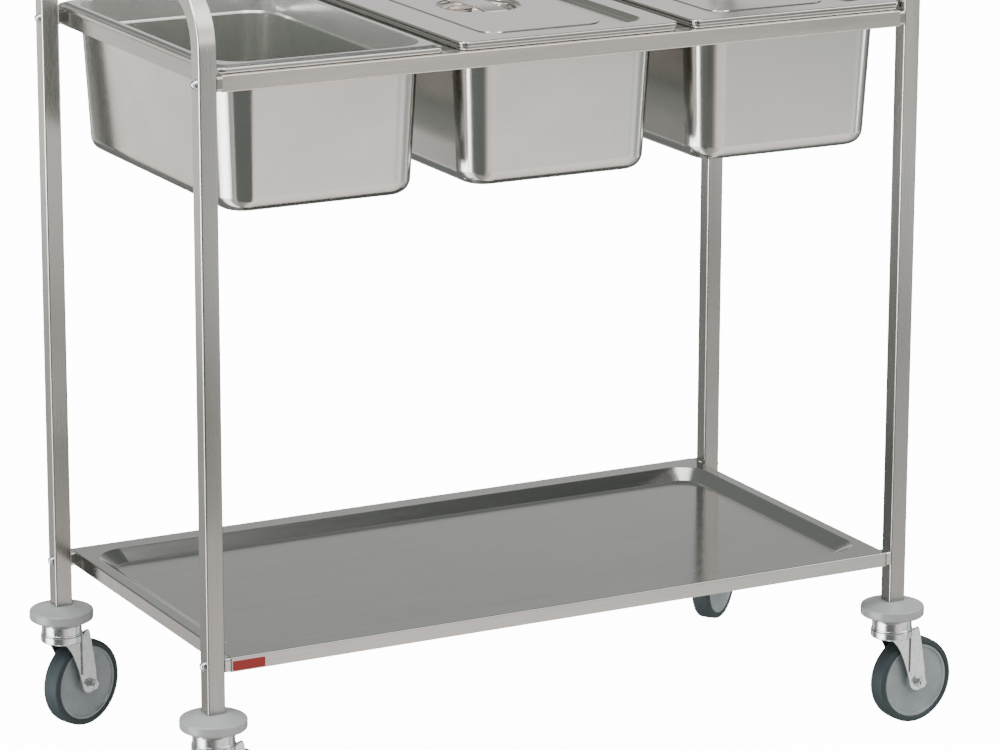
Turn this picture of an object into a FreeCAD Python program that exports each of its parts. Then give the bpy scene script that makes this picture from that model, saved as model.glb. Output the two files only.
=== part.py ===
import FreeCAD, Part
import math
import os

# Food service trolley: a stainless frame on four swivel castors that carries three deep
# food pans in a top frame and has a pressed tray shelf below.
#
# Frame of the part: +Z up, +X along the length (towards the right-hand handle), +Y to the
# back, floor at Z = 0.  Everything is laid out about the middle of the four posts and is
# moved by ORIGIN_SHIFT on export, so that the origin is the middle of the footprint with
# the castors trailing towards +X.  All sizes are in millimetres.

V = FreeCAD.Vector
X_AXIS = V(1, 0, 0)
Y_AXIS = V(0, 1, 0)
Z_AXIS = V(0, 0, 1)

# ---- driving dimensions ------------------------------------------------------------
POST_PITCH_X = 1050.0
POST_PITCH_Y = 520.0
TUBE = 25.0
TUBE_WALL = 1.2
TUBE_CORNER = 2.5
OVERALL_HEIGHT = 1150.0
HANDLE_BEND = 75.0           # bend radius on the tube's centreline

TOP_FRAME_LENGTH = 1010.0
TOP_FRAME_TOP = 1032.0
RAIL_HEIGHT = 22.0
LONG_RAIL_DEPTH = 20.0
LONG_RAIL_WALL = 1.5
END_RAIL_THICKNESS = 6.0
CROSS_BAR_WIDTH = 35.0
CROSS_BAR_WALL = 1.5

SHELF_LENGTH = 1010.0
SHELF_TOP = 261.0
SHELF_RIM = 20.0
SHELF_SHEET = 1.2
SHELF_RETURN = 12.0          # hem folded in under the rim
SHELF_END_BORDER = 17.0
SHELF_SIDE_BORDER = 32.0
SHELF_DEPTH = 14.0
SHELF_SLOPE_END = 20.0
SHELF_SLOPE_SIDE = 26.0
SHELF_RECESS_CORNER = 45.0

SPACER = 20.0
SPACER_CORNER = 4.0

PAN_PITCH = 348.0
PAN_RIM_LENGTH = 530.0
PAN_RIM_WIDTH = 325.0
PAN_DEPTH = 200.0
PAN_SHEET = 0.9
PAN_RIM_CORNER = 13.0
PAN_FLANGE_TOP = 1042.5
PAN_NECK_LENGTH = 502.0
PAN_NECK_WIDTH = 297.0
PAN_NECK_HEIGHT = 34.0
PAN_NECK_CORNER = 44.0
PAN_SHOULDER = 3.0
PAN_DRAFT_DEG = 3.0
PAN_BOTTOM_FILLET = 20.0

LID_LENGTH = 532.0
LID_WIDTH = 327.0
LID_SHEET = 0.9
LID_SKIRT = 4.6
LID_FLANGE = 30.0            # from the lid's edge to the brink of the downstep
LID_DOWNSTEP = 7.0
LID_SLOPE = 5.0
LID_PANEL_BORDER = 72.0      # from the lid's edge to the crease round the middle panel
LID_CREASE_RISE = 1.2
LID_CORNER = 13.0
DISH_DIAMETER = 112.0
DISH_DEPTH = 17.0
LIFT_BAR_WIDTH = 34.0

WHEEL_DIAMETER = 125.0
WHEEL_WIDTH = 28.0
TREAD_SHOULDER = 4.0         # radius of the tyre's round shoulders
TREAD_CROWN = 0.5            # how far the middle of the tread stands proud of the shoulders
HUB_DIAMETER = 106.5
CASTOR_TRAIL = 35.5
HEAD_TOP = 159.5             # upper face of the castor's fixed head
BUMPER_DIAMETER = 90.0
BUMPER_THICKNESS = 26.5      # from the head's upper face to the foot of the post
BUMPER_DISC_LOW = 164.2
BUMPER_DISC_HIGH = 179.5
STEM_DIAMETER = 12.0
AXLE_DIAMETER = 8.0
# each castor: corner signs in X and Y, and the direction it trails in, degrees from +X
CASTORS = {
    "front_left": (-1, -1, 12.0),
    "front_right": (1, -1, 5.0),
    "rear_left": (-1, 1, 22.0),
    "rear_right": (1, 1, 39.0),
}

CROWN_TOP = 139.5            # upper face of the fork's crown
CROWN_THICKNESS = 3.0
RACE_LIP = 4.0
HEAD_RADIUS = 28.3
CROWN_RADIUS = 29.8
BALL_RADIUS = 3.6
KINGPIN_DIAMETER = 12.0
FORK_INNER = 18.0            # inner face of a fork leg, from the wheel's middle plane
FORK_SHEET = 2.5
BUSH_DIAMETER = 12.0
AXLE_BOSS_DIAMETER = 17.0
AXLE_BOSS_HEIGHT = 1.0

BOLT_DIAMETER = 6.0
WASHER_DIAMETER = 14.0
CLEARANCE = 0.3              # left between pieces that move apart
SEAT = 0.05                  # left between pieces bolted together, so solids never overlap

# ---- derived dimensions ------------------------------------------------------------
POST_X = POST_PITCH_X / 2
POST_Y = POST_PITCH_Y / 2
BUMPER_TOP = HEAD_TOP + BUMPER_THICKNESS
WHEEL_RADIUS = WHEEL_DIAMETER / 2
FRAME_DEPTH = POST_PITCH_Y + TUBE
RAIL_BOTTOM = TOP_FRAME_TOP - RAIL_HEIGHT
RAIL_MIDDLE = TOP_FRAME_TOP - RAIL_HEIGHT / 2
SHELF_MIDDLE = SHELF_TOP - SHELF_RIM / 2
POST_INNER_X = POST_X - TUBE / 2
POST_OUTER_X = POST_X + TUBE / 2
LID_TOP = PAN_FLANGE_TOP + CLEARANCE + LID_SHEET
LID_PANEL_TOP = LID_TOP - LID_DOWNSTEP + LID_CREASE_RISE
LEFT_REACH = POST_X + BUMPER_DIAMETER / 2
RIGHT_REACH = max(
    sx * POST_X + (CASTOR_TRAIL + WHEEL_RADIUS) * math.cos(math.radians(turn))
    for sx, sy, turn in CASTORS.values()
)
FRONT_REACH = POST_Y + BUMPER_DIAMETER / 2


def tyre_reach_y(y_side, turn_deg):
    """How far to the rear the tyre of a castor at this corner comes."""
    turn = math.radians(turn_deg)
    shoulder_radius = WHEEL_RADIUS - TREAD_CROWN - TREAD_SHOULDER
    shoulder_width = WHEEL_WIDTH / 2 - TREAD_SHOULDER
    along = (CASTOR_TRAIL + shoulder_radius) * math.sin(turn)
    return y_side * POST_Y + along + shoulder_width * math.cos(turn) + TREAD_SHOULDER


REAR_REACH = max(tyre_reach_y(sy, turn) for sx, sy, turn in CASTORS.values())
# the exported origin is the middle of the trolley's footprint, castors included
ORIGIN_SHIFT = V((LEFT_REACH - RIGHT_REACH) / 2, (FRONT_REACH - REAR_REACH) / 2, 0)


# ---- helpers -----------------------------------------------------------------------
def rounded_wire(length_x, length_y, corner, z, centre=(0.0, 0.0)):
    """A closed rectangle with round corners, in a level plane."""
    half_x = length_x / 2
    half_y = length_y / 2
    edges = []
    corners = [(1, 1, 0), (-1, 1, 90), (-1, -1, 180), (1, -1, 270)]
    arcs = []
    for sx, sy, start in corners:
        middle = V(centre[0] + sx * (half_x - corner), centre[1] + sy * (half_y - corner), z)
        arcs.append(Part.makeCircle(corner, middle, Z_AXIS, start, start + 90))
    for index, arc in enumerate(arcs):
        following = arcs[(index + 1) % len(arcs)]
        edges.append(arc)
        start_point = arc.valueAt(arc.LastParameter)
        end_point = following.valueAt(following.FirstParameter)
        edges.append(Part.makeLine(start_point, end_point))
    return Part.Wire(edges)


def rounded_block(length_x, length_y, corner, z_low, z_high, centre=(0.0, 0.0)):
    face = Part.Face(rounded_wire(length_x, length_y, corner, z_low, centre))
    return face.extrude(V(0, 0, z_high - z_low))


def box(x_low, x_high, y_low, y_high, z_low, z_high):
    return Part.makeBox(x_high - x_low, y_high - y_low, z_high - z_low, V(x_low, y_low, z_low))


def rod(diameter, start, direction, length):
    return Part.makeCylinder(diameter / 2, length, start, direction)


def hexagon(across_flats, start, direction, length):
    """A hexagonal prism that grows from start along direction."""
    radius = across_flats / math.sqrt(3)
    points = []
    for step in range(7):
        angle = math.radians(60 * step)
        points.append(V(radius * math.cos(angle), radius * math.sin(angle), 0))
    prism = Part.Face(Part.makePolygon(points)).extrude(V(0, 0, length))
    prism.Placement = FreeCAD.Placement(start, FreeCAD.Rotation(Z_AXIS, direction))
    return prism


def revolved(points, axis_point=V(0, 0, 0), axis=Z_AXIS):
    """A solid of revolution from (radius, height) points about the Z axis."""
    corners = [V(radius, 0, height) for radius, height in points]
    corners.append(corners[0])
    return Part.Face(Part.makePolygon(corners)).revolve(axis_point, axis, 360)


def stacked_loft(sections):
    """A solid through level rounded rectangles given as (length_x, length_y, corner, z)."""
    return Part.makeLoft([rounded_wire(*section) for section in sections], True, True)


def fillet_level_edges(solid, radius, z, tolerance=0.05):
    """Rounds the edges that lie wholly at one height."""
    edges = [
        edge for edge in solid.Edges
        if abs(edge.BoundBox.ZMin - z) < tolerance and abs(edge.BoundBox.ZMax - z) < tolerance
    ]
    return solid.makeFillet(radius, edges)


def joined(solids):
    result = solids[0]
    for solid in solids[1:]:
        result = result.fuse(solid)
    return result.removeSplitter()


def export(node, shapes):
    """Writes one node, a single solid or a group of separate solids."""
    group = shapes if isinstance(shapes, list) else [shapes]
    solids = []
    for shape in group:
        for solid in shape.Solids:
            placed = solid.copy()
            placed.translate(ORIGIN_SHIFT)
            solids.append(placed)
    result = solids[0] if len(solids) == 1 else Part.makeCompound(solids)
    if not result.isValid():
        print("NOT VALID", node)
    result.exportStep("parts/" + node + ".step")
    size = result.BoundBox
    print(node, len(solids), round(size.XLength, 1), round(size.YLength, 1), round(size.ZLength, 1))


# ---- end frames, plugs and their bolts ----------------------------------------------
def swept_tube(x_centre, size, corner, bottom):
    """The inverted U: front leg, bend, handle, bend and rear leg, as a solid bar."""
    bend_height = OVERALL_HEIGHT - TUBE / 2 - HANDLE_BEND
    bend_y = POST_Y - HANDLE_BEND
    pieces = []
    for side in (-1, 1):
        leg_face = Part.Face(rounded_wire(size, size, corner, bottom, (x_centre, side * POST_Y)))
        pieces.append(leg_face.extrude(V(0, 0, bend_height - bottom)))
        bend_face = Part.Face(rounded_wire(size, size, corner, bend_height, (x_centre, side * POST_Y)))
        pivot = V(x_centre, side * bend_y, bend_height)
        pieces.append(bend_face.revolve(pivot, V(side, 0, 0), 90))
    handle_face = Part.Face(rounded_wire(size, size, corner, 0))
    turn = FreeCAD.Rotation(X_AXIS, -90)
    handle = handle_face.extrude(V(0, 0, 2 * bend_y))
    handle.Placement = FreeCAD.Placement(V(x_centre, -bend_y, OVERALL_HEIGHT - TUBE / 2), turn)
    pieces.append(handle)
    return joined(pieces)


def end_frame(side):
    x_centre = side * POST_X
    outside = swept_tube(x_centre, TUBE, TUBE_CORNER, BUMPER_TOP)
    bore = swept_tube(x_centre, TUBE - 2 * TUBE_WALL, TUBE_CORNER - TUBE_WALL, BUMPER_TOP)
    tube = outside.cut(bore)
    for y_side in (-1, 1):
        for height in (RAIL_MIDDLE, SHELF_MIDDLE):
            start = V(x_centre - TUBE, y_side * POST_Y, height)
            tube = tube.cut(rod(BOLT_DIAMETER + 0.4, start, X_AXIS, 2 * TUBE))
    return tube


def leg_plug(x_centre, y_centre):
    """Square steel plug in the foot of a post, bored for the castor's stem."""
    plug_size = TUBE - 2 * TUBE_WALL - 2 * SEAT
    plug_length = 32.0
    block = rounded_block(
        plug_size, plug_size, TUBE_CORNER - TUBE_WALL, BUMPER_TOP + SEAT, BUMPER_TOP + plug_length,
        (x_centre, y_centre),
    )
    hole = rod(STEM_DIAMETER + 2 * SEAT, V(x_centre, y_centre, BUMPER_TOP - 1), Z_AXIS, plug_length + 2)
    return block.cut(hole)


def frame_bolt(x_side, y_side, height, tip_x):
    """Domed bolt through a post along X; its head is on the post's outer face."""
    washer_thickness = 1.6
    head_height = 4.4
    head_diameter = 11.0
    outward = V(x_side, 0, 0)
    head_base = POST_OUTER_X + washer_thickness + 2 * SEAT
    centre = V(0, y_side * POST_Y, height)
    shank = rod(BOLT_DIAMETER, centre + outward * tip_x, outward, head_base - tip_x)
    dome_radius = (head_diameter ** 2 / 4 + head_height ** 2) / (2 * head_height)
    ball = Part.makeSphere(dome_radius, centre + outward * (head_base + head_height - dome_radius))
    dome = ball.common(rod(head_diameter, centre + outward * head_base, outward, head_height))
    flange = rod(head_diameter, centre + outward * head_base, outward, 1.2)
    return joined([shank, dome, flange])


def frame_washer(x_side, y_side, height):
    start = V(x_side * (POST_OUTER_X + SEAT), y_side * POST_Y, height)
    disc = rod(WASHER_DIAMETER, start, V(x_side, 0, 0), 1.6)
    hole = rod(BOLT_DIAMETER + 2 * SEAT, start - V(x_side, 0, 0), V(x_side, 0, 0), 4)
    return disc.cut(hole)


def spacer(x_side, y_side, height):
    """Block that fills the gap between a post and the end of a rail or of the shelf."""
    x_low = TOP_FRAME_LENGTH / 2 + SEAT
    width = POST_INNER_X - SEAT - x_low
    y_centre = y_side * (FRAME_DEPTH / 2 - SPACER / 2 - SEAT)
    face = Part.Face(rounded_wire(SPACER, SPACER, SPACER_CORNER, 0))
    block = face.extrude(V(0, 0, width))
    turn = FreeCAD.Rotation(Z_AXIS, X_AXIS)
    x_start = x_low if x_side > 0 else -x_low - width
    block.Placement = FreeCAD.Placement(V(x_start, y_centre, height), turn)
    hole = rod(BOLT_DIAMETER + 2 * SEAT, V(x_start - 1, y_side * POST_Y, height), X_AXIS, width + 2)
    return block.cut(hole)


# ---- top frame -----------------------------------------------------------------------
def long_rail(y_side):
    """Front or rear rail: a rectangular tube with an insert in each end."""
    half = TOP_FRAME_LENGTH / 2
    y_outer = y_side * FRAME_DEPTH / 2
    y_inner = y_side * (FRAME_DEPTH / 2 - LONG_RAIL_DEPTH)
    y_low = min(y_outer, y_inner)
    y_high = max(y_outer, y_inner)
    wall = LONG_RAIL_WALL
    corner = 1.5
    middle = (y_low + y_high) / 2
    outside = rounded_bar_x(-half, half, middle, RAIL_MIDDLE, LONG_RAIL_DEPTH, RAIL_HEIGHT, corner)
    bore = box(-half - 1, half + 1, y_low + wall, y_high - wall, RAIL_BOTTOM + wall, TOP_FRAME_TOP - wall)
    return outside.cut(bore)


def rounded_bar_x(x_low, x_high, y_centre, z_centre, depth, height, corner):
    """A bar along X with a rounded rectangular section."""
    face = Part.Face(rounded_wire(height, depth, corner, 0))
    bar = face.extrude(V(0, 0, x_high - x_low))
    turn = FreeCAD.Rotation(Y_AXIS, 90)
    bar.Placement = FreeCAD.Placement(V(x_low, y_centre, z_centre), turn)
    return bar


def rail_insert(x_side, y_side):
    """Threaded block fixed in the end of a long rail, which takes the post's bolt."""
    length = 18.0
    play = LONG_RAIL_WALL + SEAT
    half = TOP_FRAME_LENGTH / 2
    x_low = half - length if x_side > 0 else -half
    y_outer = FRAME_DEPTH / 2 - play
    y_inner = FRAME_DEPTH / 2 - LONG_RAIL_DEPTH + play
    y_low = min(y_side * y_outer, y_side * y_inner)
    y_high = max(y_side * y_outer, y_side * y_inner)
    block = box(x_low, x_low + length, y_low, y_high, RAIL_BOTTOM + play, TOP_FRAME_TOP - play)
    hole = rod(BOLT_DIAMETER + 2 * SEAT, V(x_low - 1, y_side * POST_Y, RAIL_MIDDLE), X_AXIS, length + 2)
    return block.cut(hole)


def end_rail(x_side):
    x_outer = TOP_FRAME_LENGTH / 2
    x_low = x_outer - END_RAIL_THICKNESS if x_side > 0 else -x_outer
    y_reach = FRAME_DEPTH / 2 - LONG_RAIL_DEPTH - SEAT
    return box(x_low, x_low + END_RAIL_THICKNESS, -y_reach, y_reach, RAIL_BOTTOM, TOP_FRAME_TOP)


def cross_bar(x_centre):
    """Rectangular tube between two pans, on which their long rims rest."""
    y_reach = FRAME_DEPTH / 2 - LONG_RAIL_DEPTH - SEAT
    half = CROSS_BAR_WIDTH / 2
    wall = CROSS_BAR_WALL
    outside = box(x_centre - half, x_centre + half, -y_reach, y_reach, RAIL_BOTTOM + 2, TOP_FRAME_TOP)
    bore = box(
        x_centre - half + wall, x_centre + half - wall, -y_reach - 1, y_reach + 1,
        RAIL_BOTTOM + 2 + wall, TOP_FRAME_TOP - wall,
    )
    return outside.cut(bore)


# ---- lower shelf ---------------------------------------------------------------------
def shelf():
    """Pressed tray: flat border, sloped recess, turned-down rim and a hem under it."""
    sheet = SHELF_SHEET
    corner = 2.5
    block = rounded_block(SHELF_LENGTH, FRAME_DEPTH, corner, SHELF_TOP - SHELF_RIM, SHELF_TOP)
    block = fillet_level_edges(block, 1.8, SHELF_TOP)
    hollow = rounded_block(
        SHELF_LENGTH - 2 * sheet, FRAME_DEPTH - 2 * sheet, corner - sheet,
        SHELF_TOP - SHELF_RIM + sheet, SHELF_TOP - sheet,
    )
    mouth = rounded_block(
        SHELF_LENGTH - 2 * SHELF_RETURN, FRAME_DEPTH - 2 * SHELF_RETURN, corner,
        SHELF_TOP - SHELF_RIM - 1, SHELF_TOP - sheet,
    )
    tray = block.cut(hollow).cut(mouth)

    def recess(growth, top, depth):
        """Solid with the shape of the recess, grown outwards by a sheet's thickness."""
        mouth_x = SHELF_LENGTH - 2 * SHELF_END_BORDER + 2 * growth
        mouth_y = FRAME_DEPTH - 2 * SHELF_SIDE_BORDER + 2 * growth
        floor_x = mouth_x - 2 * SHELF_SLOPE_END
        floor_y = mouth_y - 2 * SHELF_SLOPE_SIDE
        floor_corner = SHELF_RECESS_CORNER - 16.0
        bowl = stacked_loft([
            (floor_x, floor_y, floor_corner + growth, top - depth),
            (mouth_x, mouth_y, SHELF_RECESS_CORNER + growth, top),
        ])
        return fillet_level_edges(bowl, 6.0, top - depth)

    below = recess(sheet, SHELF_TOP, SHELF_DEPTH + sheet)
    above = recess(0.0, SHELF_TOP, SHELF_DEPTH)
    tray = tray.fuse(below).cut(above)
    brink = []
    for edge in tray.Edges:
        bounds = edge.BoundBox
        level = abs(bounds.ZMin - SHELF_TOP) < 0.05 and abs(bounds.ZMax - SHELF_TOP) < 0.05
        inside = bounds.XMax < SHELF_LENGTH / 2 - 5 and bounds.XMin > -SHELF_LENGTH / 2 + 5
        if level and inside and bounds.YMax < FRAME_DEPTH / 2 - 5 and bounds.YMin > -FRAME_DEPTH / 2 + 5:
            brink.append(edge)
    tray = tray.makeFillet(3.0, brink)
    for x_side in (-1, 1):
        for y_side in (-1, 1):
            start = V(x_side * (SHELF_LENGTH / 2 + 2), y_side * POST_Y, SHELF_MIDDLE)
            tray = tray.cut(rod(BOLT_DIAMETER + 0.4, start, V(-x_side, 0, 0), 8))
    return tray


def shelf_nut(x_side, y_side):
    length = 5.0
    inside = SHELF_LENGTH / 2 - SHELF_SHEET - SEAT
    start = V(x_side * inside, y_side * POST_Y, SHELF_MIDDLE)
    inward = V(-x_side, 0, 0)
    nut = hexagon(10.0, start, inward, length)
    hole = rod(BOLT_DIAMETER + 2 * SEAT, start - inward, inward, length + 2)
    return nut.cut(hole)


def badge():
    """Small plain plate stuck on the front of the shelf's rim, near its left end."""
    length = 46.0
    height = 13.0
    thickness = 0.6
    x_low = -SHELF_LENGTH / 2 + 3.5
    y_low = -FRAME_DEPTH / 2 - thickness - 0.02
    face = Part.Face(rounded_wire(length, height, 1.2, 0))
    plate = face.extrude(V(0, 0, thickness))
    centre = V(x_low + length / 2, y_low + thickness, SHELF_MIDDLE - 2.0)
    plate.Placement = FreeCAD.Placement(centre, FreeCAD.Rotation(X_AXIS, 90))
    return plate


# ---- pans and lids -------------------------------------------------------------------
def pan_body(grow, x_centre, top_extra):
    """The pan's hollow shape; grow is 0 inside and the sheet's thickness outside."""
    # the four heights: flange, foot of the neck, foot of the shoulder and bottom
    neck_foot = PAN_FLANGE_TOP - PAN_NECK_HEIGHT
    shoulder_foot = neck_foot - PAN_SHOULDER
    bottom = PAN_FLANGE_TOP - PAN_DEPTH - grow
    inner_length = PAN_NECK_LENGTH - 2 * PAN_SHEET + 2 * grow
    inner_width = PAN_NECK_WIDTH - 2 * PAN_SHEET + 2 * grow
    neck_taper = 1.0
    step = 2 * PAN_SHOULDER
    draft = 2 * math.tan(math.radians(PAN_DRAFT_DEG)) * (shoulder_foot - bottom)
    centre = (x_centre, 0.0)
    neck = [
        (inner_width, inner_length, PAN_NECK_CORNER + grow, PAN_FLANGE_TOP + top_extra, centre),
        (inner_width - neck_taper, inner_length - neck_taper, PAN_NECK_CORNER + grow, neck_foot, centre),
        (
            inner_width - step, inner_length - step, PAN_NECK_CORNER - PAN_SHOULDER / 2 + grow,
            shoulder_foot, centre,
        ),
        (
            inner_width - step - draft, inner_length - step - draft,
            PAN_NECK_CORNER - PAN_SHOULDER / 2 - 5.0 + grow, bottom, centre,
        ),
    ]
    return fillet_level_edges(stacked_loft(neck), PAN_BOTTOM_FILLET + grow, bottom)


def rim_bead(x_centre):
    """Rolled outer edge of the pan's rim: a bar of D section, bent round the rim."""
    low = TOP_FRAME_TOP + CLEARANCE
    high = PAN_FLANGE_TOP - 2.5
    outer = rounded_block(PAN_RIM_WIDTH, PAN_RIM_LENGTH, PAN_RIM_CORNER, low, high, (x_centre, 0))
    outer = fillet_level_edges(outer, 3.0, high)
    outer = fillet_level_edges(outer, 2.4, low)
    width = 6.0
    inner = rounded_block(
        PAN_RIM_WIDTH - 2 * width, PAN_RIM_LENGTH - 2 * width, PAN_RIM_CORNER - width, low - 1, high + 1,
        (x_centre, 0),
    )
    return outer.cut(inner)


def rim_flange(x_centre):
    """Flat of the rim, which climbs from the rolled edge to the brink of the pan."""
    low = PAN_FLANGE_TOP - 2.5
    border = 4.0
    climb_run = 4.0
    under_inset = 1.5
    centre = (x_centre, 0)

    def level(inset, corner, z):
        return (PAN_RIM_WIDTH - 2 * inset, PAN_RIM_LENGTH - 2 * inset, corner, z, centre)

    corner = PAN_RIM_CORNER - border
    climb = stacked_loft([
        level(border, corner, low - PAN_SHEET),
        level(border, corner, low),
        level(border + climb_run, corner + climb_run, PAN_FLANGE_TOP),
    ])
    under = stacked_loft([
        level(border + under_inset, corner, low - 2),
        level(border + under_inset, corner, low - PAN_SHEET),
        level(border + under_inset + climb_run, corner + climb_run, PAN_FLANGE_TOP - PAN_SHEET),
    ])
    return climb.cut(under)


def pan(x_centre):
    outside = pan_body(PAN_SHEET, x_centre, -PAN_SHEET / 2)
    inside = pan_body(0.0, x_centre, 1.0)
    shell = joined([outside, rim_flange(x_centre), rim_bead(x_centre)]).cut(inside)
    brink = []
    for edge in shell.Edges:
        bounds = edge.BoundBox
        level = abs(bounds.ZMin - PAN_FLANGE_TOP) < 0.05 and abs(bounds.ZMax - PAN_FLANGE_TOP) < 0.05
        near = bounds.XMax < x_centre + PAN_NECK_WIDTH / 2 and bounds.XMin > x_centre - PAN_NECK_WIDTH / 2
        if level and near and bounds.YMax < PAN_NECK_LENGTH / 2 and bounds.YMin > -PAN_NECK_LENGTH / 2:
            brink.append(edge)
    return shell.makeFillet(PAN_SHEET * 0.8, brink)


def lid_hollows(x_centre, grow):
    """Everything pressed down into the lid: well, less its middle panel, and handle dish.

    grow is 0 for the upper side of the sheet and the sheet's thickness for its lower side.
    """
    top = LID_TOP - grow
    high = LID_TOP + 20
    well_floor = top - LID_DOWNSTEP
    centre = (x_centre, 0.0)
    well_corner = 34.0
    panel_corner = 26.0

    def section(inset, corner, z):
        return (LID_WIDTH - 2 * inset, LID_LENGTH - 2 * inset, corner, z, centre)

    foot = LID_FLANGE + LID_SLOPE - grow
    brink = LID_FLANGE - grow
    well = stacked_loft([
        section(foot, well_corner - LID_SLOPE + grow, well_floor),
        section(brink, well_corner + grow, top),
        section(brink, well_corner + grow, high),
    ])
    well = fillet_level_edges(well, 2.0 + grow, well_floor)
    crease = LID_PANEL_BORDER + grow
    slant = 1.5
    panel = stacked_loft([
        section(crease, panel_corner - grow, well_floor - 1),
        section(crease, panel_corner - grow, well_floor),
        section(crease + slant, panel_corner - grow - slant, well_floor + LID_CREASE_RISE),
    ])
    return well.cut(panel).fuse(dish_hollow(x_centre, grow))


def dish_hollow(x_centre, grow):
    """The round dish below the lift bar, with a rolled brink and a round-cornered floor."""
    level = LID_PANEL_TOP - grow
    radius = DISH_DIAMETER / 2 + grow
    brink_radius = 3.0 - grow
    floor_radius = 12.0
    floor = level - DISH_DEPTH
    wall_lean = 4.0
    outline = [
        V(0, 0, level + 5),
        V(radius + brink_radius, 0, level + 5),
        V(radius + brink_radius, 0, level),
    ]
    wall_top = V(radius, 0, level - brink_radius)
    wall_foot = V(radius - wall_lean, 0, floor + floor_radius)
    floor_edge = V(radius - wall_lean - floor_radius, 0, floor)
    half = math.sqrt(0.5)
    brink_middle = V(radius + brink_radius * (1 - half), 0, level - brink_radius * (1 - half))
    floor_middle = V(
        radius - wall_lean - floor_radius * (1 - half), 0, floor + floor_radius * (1 - half),
    )
    edges = [
        Part.makeLine(outline[0], outline[1]),
        Part.makeLine(outline[1], outline[2]),
        Part.Arc(outline[2], brink_middle, wall_top).toShape(),
        Part.makeLine(wall_top, wall_foot),
        Part.Arc(wall_foot, floor_middle, floor_edge).toShape(),
        Part.makeLine(floor_edge, V(0, 0, floor)),
        Part.makeLine(V(0, 0, floor), outline[0]),
    ]
    bowl = Part.Face(Part.Wire(edges)).revolve(V(0, 0, 0), Z_AXIS, 360)
    bowl.translate(V(x_centre, 0, 0))
    return bowl


def lid(x_centre):
    """Pressed lid: rolled skirt, flange, downstep, raised middle panel and handle dish."""
    centre = (x_centre, 0.0)
    floor = LID_PANEL_TOP - DISH_DEPTH - 3.0
    skirt = rounded_block(LID_WIDTH, LID_LENGTH, LID_CORNER, LID_TOP - LID_SKIRT, LID_TOP, centre)
    skirt = fillet_level_edges(skirt, 2.2, LID_TOP)
    core_inset = LID_FLANGE - 5
    core = rounded_block(
        LID_WIDTH - 2 * core_inset, LID_LENGTH - 2 * core_inset, 36.0,
        floor, LID_TOP - LID_SHEET / 2, centre,
    )
    upper = skirt.fuse(core).cut(lid_hollows(x_centre, 0.0))
    below = rounded_block(
        LID_WIDTH - 2 * LID_SHEET, LID_LENGTH - 2 * LID_SHEET, LID_CORNER - LID_SHEET,
        floor - 1, LID_TOP - LID_SHEET, centre,
    )
    lower = below.cut(lid_hollows(x_centre, LID_SHEET))
    return upper.cut(lower)


def lift_bar(x_centre):
    """The strap across the dish, along Y, with its ends bent down onto the dish's wall."""
    reach = DISH_DIAMETER / 2 - 1.2
    sheet = 1.5
    crown = 2.5
    leg = 7.0
    level = LID_PANEL_TOP - 0.5
    span = reach - 4.0

    def strap_outline(drop, end):
        arch = Part.Arc(V(0, -end, level - drop), V(0, 0, level + crown - drop), V(0, end, level - drop))
        return arch.toShape()

    upper = strap_outline(0.0, span)
    lower = strap_outline(sheet, span - 0.6)
    edges = [upper, lower]
    for side in (-1, 1):
        outer_top = V(0, side * span, level)
        outer_foot = V(0, side * (reach - 1.0), level - leg)
        inner_foot = V(0, side * (reach - 1.0 - sheet), level - leg)
        inner_top = V(0, side * (span - 0.6), level - sheet)
        edges.append(Part.makeLine(outer_top, outer_foot))
        edges.append(Part.makeLine(outer_foot, inner_foot))
        edges.append(Part.makeLine(inner_foot, inner_top))
    outline = Part.Wire(Part.__sortEdges__(edges))
    bar = Part.Face(outline).extrude(V(LIFT_BAR_WIDTH, 0, 0))
    bar.translate(V(x_centre - LIFT_BAR_WIDTH / 2, 0, 0))
    return bar.common(dish_hollow(x_centre, -SEAT))


# ---- castors -------------------------------------------------------------------------
def castor_frame(x_side, y_side, turn_deg):
    """Placement that puts a castor built about the Z axis, trailing to +X, at its post."""
    return FreeCAD.Placement(V(x_side * POST_X, y_side * POST_Y, 0), FreeCAD.Rotation(Z_AXIS, turn_deg))


def bumper():
    """Round buffer with soft edges, a low cone up to the post and a collar below, bored."""
    radius = BUMPER_DIAMETER / 2
    edge_radius = 3.6
    collar_radius = 27.0
    cone_foot_radius = radius - edge_radius - 0.5
    cone_top_radius = 19.0
    disc = Part.makeCylinder(radius, BUMPER_DISC_HIGH - BUMPER_DISC_LOW, V(0, 0, BUMPER_DISC_LOW))
    rims = [edge for edge in disc.Edges if edge.Curve.TypeId == "Part::GeomCircle"]
    disc = disc.makeFillet(edge_radius, rims)
    cone_low = BUMPER_DISC_HIGH - 0.1
    cone_height = BUMPER_TOP - SEAT - cone_low
    cone = Part.makeCone(cone_foot_radius, cone_top_radius, cone_height, V(0, 0, cone_low))
    collar_height = BUMPER_DISC_LOW + 1 - HEAD_TOP - SEAT
    collar = Part.makeCylinder(collar_radius, collar_height, V(0, 0, HEAD_TOP + SEAT))
    bore = rod(STEM_DIAMETER + 2 * SEAT, V(0, 0, HEAD_TOP - 1), Z_AXIS, BUMPER_THICKNESS + 2)
    return disc.fuse([cone, collar]).cut(bore)


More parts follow.
